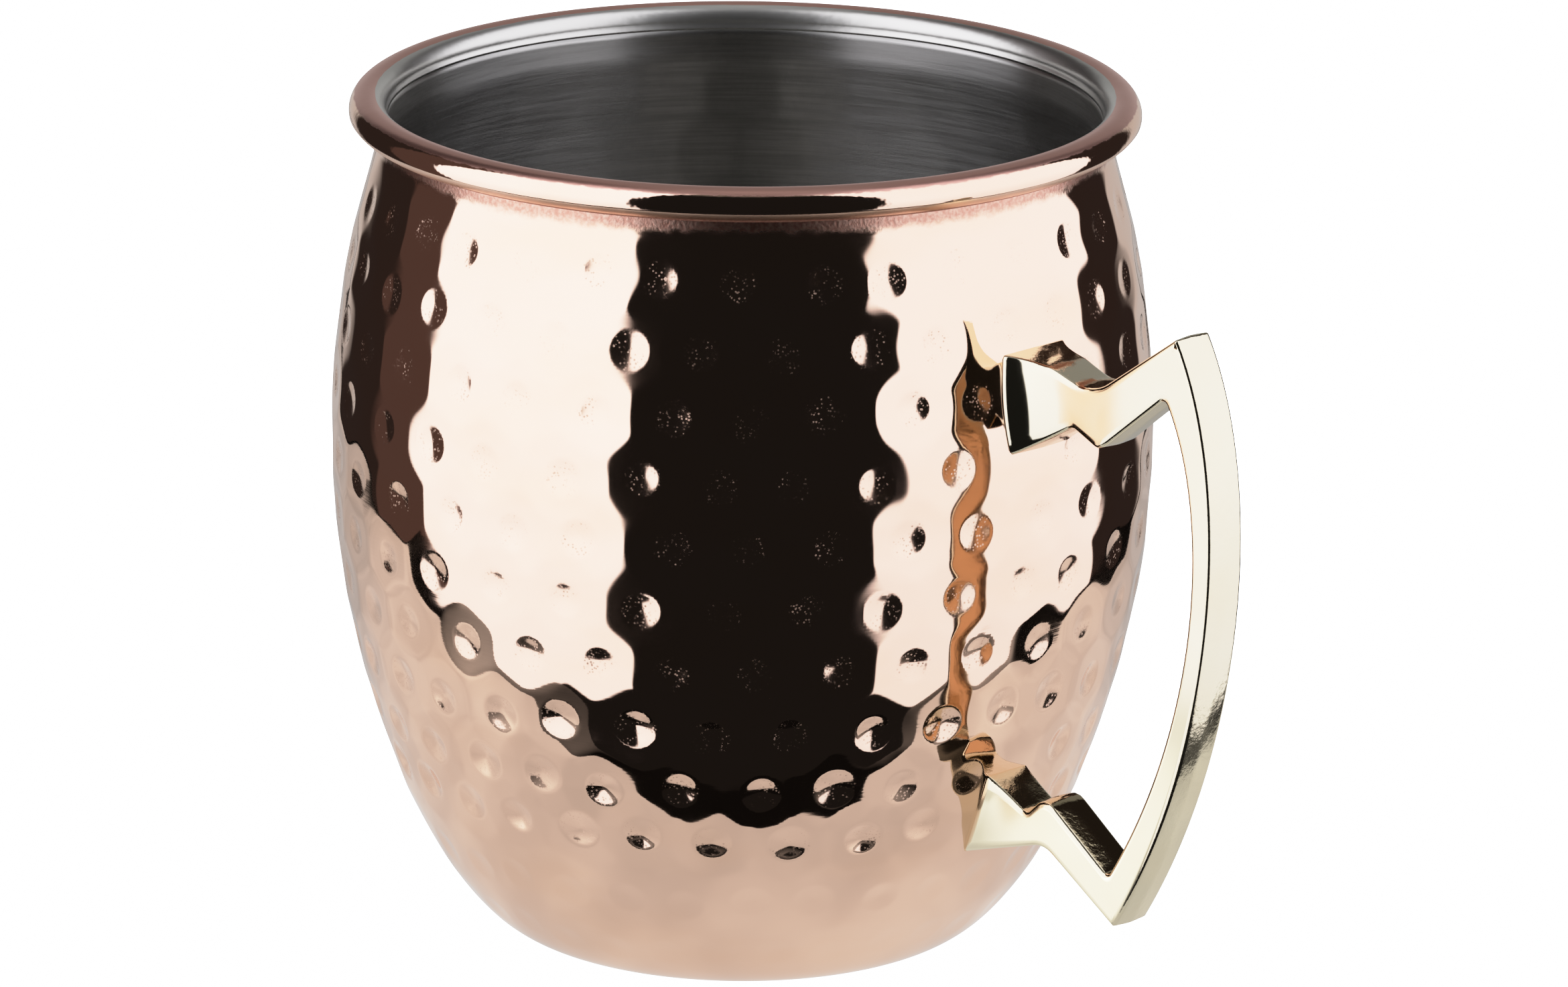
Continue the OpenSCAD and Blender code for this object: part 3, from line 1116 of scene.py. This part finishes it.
def make_world():
    """A studio that surrounds the mug: a dark wall in front, a tall soft box on each side and a
    pale wall behind. The camera itself sees plain white."""
    world = bpy.data.worlds.new("studio")
    world.use_nodes = True
    bpy.context.scene.world = world
    tree = world.node_tree
    ray = add(tree, "ShaderNodeTexCoord").outputs["Generated"]
    c, s = math.cos(CAMERA_AZIMUTH), math.sin(CAMERA_AZIMUTH)
    front = dot(tree, ray, (c, s, 0.0))
    right = dot(tree, ray, (-s, c, 0.0))
    up = dot(tree, ray, (0.0, 0.0, 1.0))
    azimuth = math_node(tree, "DEGREES", math_node(tree, "ARCTAN2", right, front))
    elevation = math_node(tree, "DEGREES", math_node(tree, "ARCSINE", up))

    light = colour_sum(tree, gap_light(tree, azimuth), soft_boxes(tree, azimuth, elevation))
    light = colour_sum(tree, light, back_wall(tree, azimuth, elevation))
    felt = add(tree, "ShaderNodeBackground", Strength=1.0)
    white = (1.0, 1.0, 1.0, 1.0)
    seen = add(tree, "ShaderNodeBackground", Color=white, Strength=BACKDROP_LIGHT)
    path = add(tree, "ShaderNodeLightPath")
    choose = add(tree, "ShaderNodeMixShader")
    link = tree.links.new
    link(light, felt.inputs["Color"])
    link(path.outputs["Is Camera Ray"], choose.inputs[0])
    link(felt.outputs[0], choose.inputs[1])
    link(seen.outputs[0], choose.inputs[2])
    link(choose.outputs[0], tree.nodes["World Output"].inputs["Surface"])


def plain_face(name, corners, material):
    mesh = bpy.data.meshes.new(name)
    mesh.from_pydata(corners, [], [tuple(range(len(corners)))])
    mesh.materials.append(material)
    card = bpy.data.objects.new(name, mesh)
    bpy.context.scene.collection.objects.link(card)
    return card


FLOOR_REACH = 3.0
FLOOR_ALBEDO = 0.8
FLOOR_GLOW = 2.4
FLOOR_ROUGH = 0.9


def glow_material(name, albedo):
    """A matt surface that shines white by itself."""
    material, tree, shader = new_material(name)
    shader.inputs["Base Color"].default_value = (albedo, albedo, albedo, 1.0)
    shader.inputs["Specular IOR Level"].default_value = 0.0
    shader.inputs["Emission Color"].default_value = (1.0, 1.0, 1.0, 1.0)
    return material, tree, shader


def floor_material():
    material, _, shader = glow_material("floor_white", FLOOR_ALBEDO)
    shader.inputs["Roughness"].default_value = FLOOR_ROUGH
    shader.inputs["Emission Strength"].default_value = FLOOR_GLOW
    return material


# The table top as the metal sees it, in metres from the mug's axis: ahead is towards the
# camera, and aside is to its right. A dark edge runs round it.
TABLE_FRONT = 0.055
TABLE_BACK = -0.9
TABLE_LEFT = -0.168
TABLE_RIGHT = 0.130
TABLE_H = 0.00004
CORNER_LEFT = 0.105
CORNER_RIGHT = 0.055
CORNER_AHEAD = 0.07
EDGE_GAP = 0.008
EDGE_SHARE = 0.007
EDGE_H = 0.00002

# Its glow in front of the mug, beside it and far behind it, and where one turns into the next
TABLE_GLOW = 0.60
TABLE_NEAR_GLOW = 0.72
TABLE_FAR_GLOW = 0.48
NEAR_AHEAD = (0.022, 0.052)
FAR_AHEAD = (-0.10, -0.02)
CLOUDING = (0.9, 1.1)
CLOUDING_SCALE = 45.0

# Its sheen, which mirrors a soft box at low angles, and where that starts
TABLE_SHEEN = 7.0
TABLE_IOR = 1.5
FACING_SHARE = 0.05
SHEEN_ASIDE = (-0.15, -0.12)
SHEEN_AHEAD = (0.022, 0.034)


def table_material(name, right, toward, share):
    """A softly lit top, where share is how much of its glow is left."""
    material, tree, shader = glow_material(name, 0.0)
    place = add(tree, "ShaderNodeTexCoord").outputs["Object"]
    aside, ahead = dot(tree, place, right), dot(tree, place, toward)

    lit = math_node(tree, "MULTIPLY", ramp(tree, aside, *SHEEN_ASIDE),
                    ramp(tree, ahead, *SHEEN_AHEAD))
    lit = math_node(tree, "MULTIPLY", lit, TABLE_SHEEN)
    mirrored = add(tree, "ShaderNodeFresnel", IOR=TABLE_IOR).outputs[0]
    mirrored = math_node(tree, "SUBTRACT", mirrored, FACING_SHARE, True)
    sheen = math_node(tree, "MULTIPLY", mirrored, lit)

    glow = ramp(tree, ahead, *NEAR_AHEAD, TABLE_NEAR_GLOW, TABLE_GLOW)
    far = ramp(tree, ahead, *FAR_AHEAD, TABLE_FAR_GLOW - TABLE_NEAR_GLOW, 0.0)
    glow = math_node(tree, "ADD", glow, far)
    cloud = ramp(tree, object_noise(tree, CLOUDING_SCALE), 0.3, 0.7, *CLOUDING)
    glow = math_node(tree, "MULTIPLY", math_node(tree, "MULTIPLY", glow, cloud), share)
    glow = math_node(tree, "ADD", glow, sheen)
    tree.links.new(glow, shader.inputs["Emission Strength"])
    return material


def table_outline(grow):
    """Corners of the table top, as (right, ahead), pushed outward by grow."""
    left, right = TABLE_LEFT - grow, TABLE_RIGHT + grow
    front = TABLE_FRONT + grow
    turn = front - CORNER_AHEAD
    return [(left, TABLE_BACK), (left, turn), (left + CORNER_LEFT, front),
            (right - CORNER_RIGHT, front), (right, turn), (right, TABLE_BACK)]


def make_stage():
    """A pale floor for the camera, and the table top that the polished metal reflects, which
    ends just in front of the mug."""
    corners = [(x * FLOOR_REACH, y * FLOOR_REACH, 0.0)
               for x, y in ((-1, -1), (1, -1), (1, 1), (-1, 1))]
    floor = plain_face("floor", corners, floor_material())
    floor.visible_glossy = False
    floor.visible_diffuse = False

    toward = Vector((math.cos(CAMERA_AZIMUTH), math.sin(CAMERA_AZIMUTH), 0.0))
    right = Vector((-toward.y, toward.x, 0.0))

    def card(name, grow, height, material):
        corners = [
            tuple(right * aside + toward * ahead + Vector((0.0, 0.0, height)))
            for aside, ahead in table_outline(grow)
        ]
        piece = plain_face(name, corners, material)
        piece.visible_camera = False
        piece.visible_diffuse = False
        piece.visible_shadow = False

    card("table", 0.0, TABLE_H, table_material("table_pale", right, toward, 1.0))
    card("table_edge", EDGE_GAP, EDGE_H,
         table_material("table_edge_dark", right, toward, EDGE_SHARE))


LAMP_SIZE = 1.6
LAMP_POWER = 16.0
LAMP_H = 1.8


def make_lights():
    """One wide, soft lamp overhead for the floor and the tops of things."""
    data = bpy.data.lights.new("overhead", "AREA")
    data.shape = "RECTANGLE"
    data.size = data.size_y = LAMP_SIZE
    data.energy = LAMP_POWER
    lamp = bpy.data.objects.new("overhead", data)
    lamp.location = (0.0, 0.0, LAMP_H)
    lamp.visible_camera = False
    lamp.visible_glossy = False
    bpy.context.scene.collection.objects.link(lamp)


# Brightness up to TONE_KNEE is kept; above it the print rolls off softly to white
TONE_KNEE = 0.58
TONE_WHITE = 4.0
TONE_POINTS = 24


def set_tone():
    view = bpy.context.scene.view_settings
    view.view_transform = "Standard"
    view.use_curve_mapping = True
    mapping = view.curve_mapping
    mapping.white_level = (TONE_WHITE, TONE_WHITE, TONE_WHITE)
    curve = mapping.curves[3]
    room = 1.0 - TONE_KNEE
    curve.points[0].location = (0.0, 0.0)
    curve.points[1].location = (1.0, 1.0)
    knee = curve.points.new(TONE_KNEE / TONE_WHITE, TONE_KNEE)
    knee.handle_type = "VECTOR"
    for k in range(1, TONE_POINTS):
        bright = TONE_KNEE + (TONE_WHITE - TONE_KNEE) * (k / TONE_POINTS) ** 2
        shown = 1.0 - room * math.exp(-(bright - TONE_KNEE) / room)
        curve.points.new(bright / TONE_WHITE, shown)
    mapping.update()


# ---------------------------------------------------------------- build

make_camera()
make_world()
make_lights()
make_stage()
set_tone()

marks = make_dents()
jacket = make_jacket(marks, copper_material())
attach(jacket, "root")
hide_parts("copper_jacket")

liner = make_liner(marks, steel_material())
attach(liner, "root")
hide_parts("steel_liner")

handle = make_handle(brass_material())
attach(handle, "root")
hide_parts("handle")

stud_steel = stud_material()
for stud_name in ("upper_stud", "lower_stud"):
    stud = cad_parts[stud_name]
    for slot in stud.material_slots:
        slot.material = stud_steel
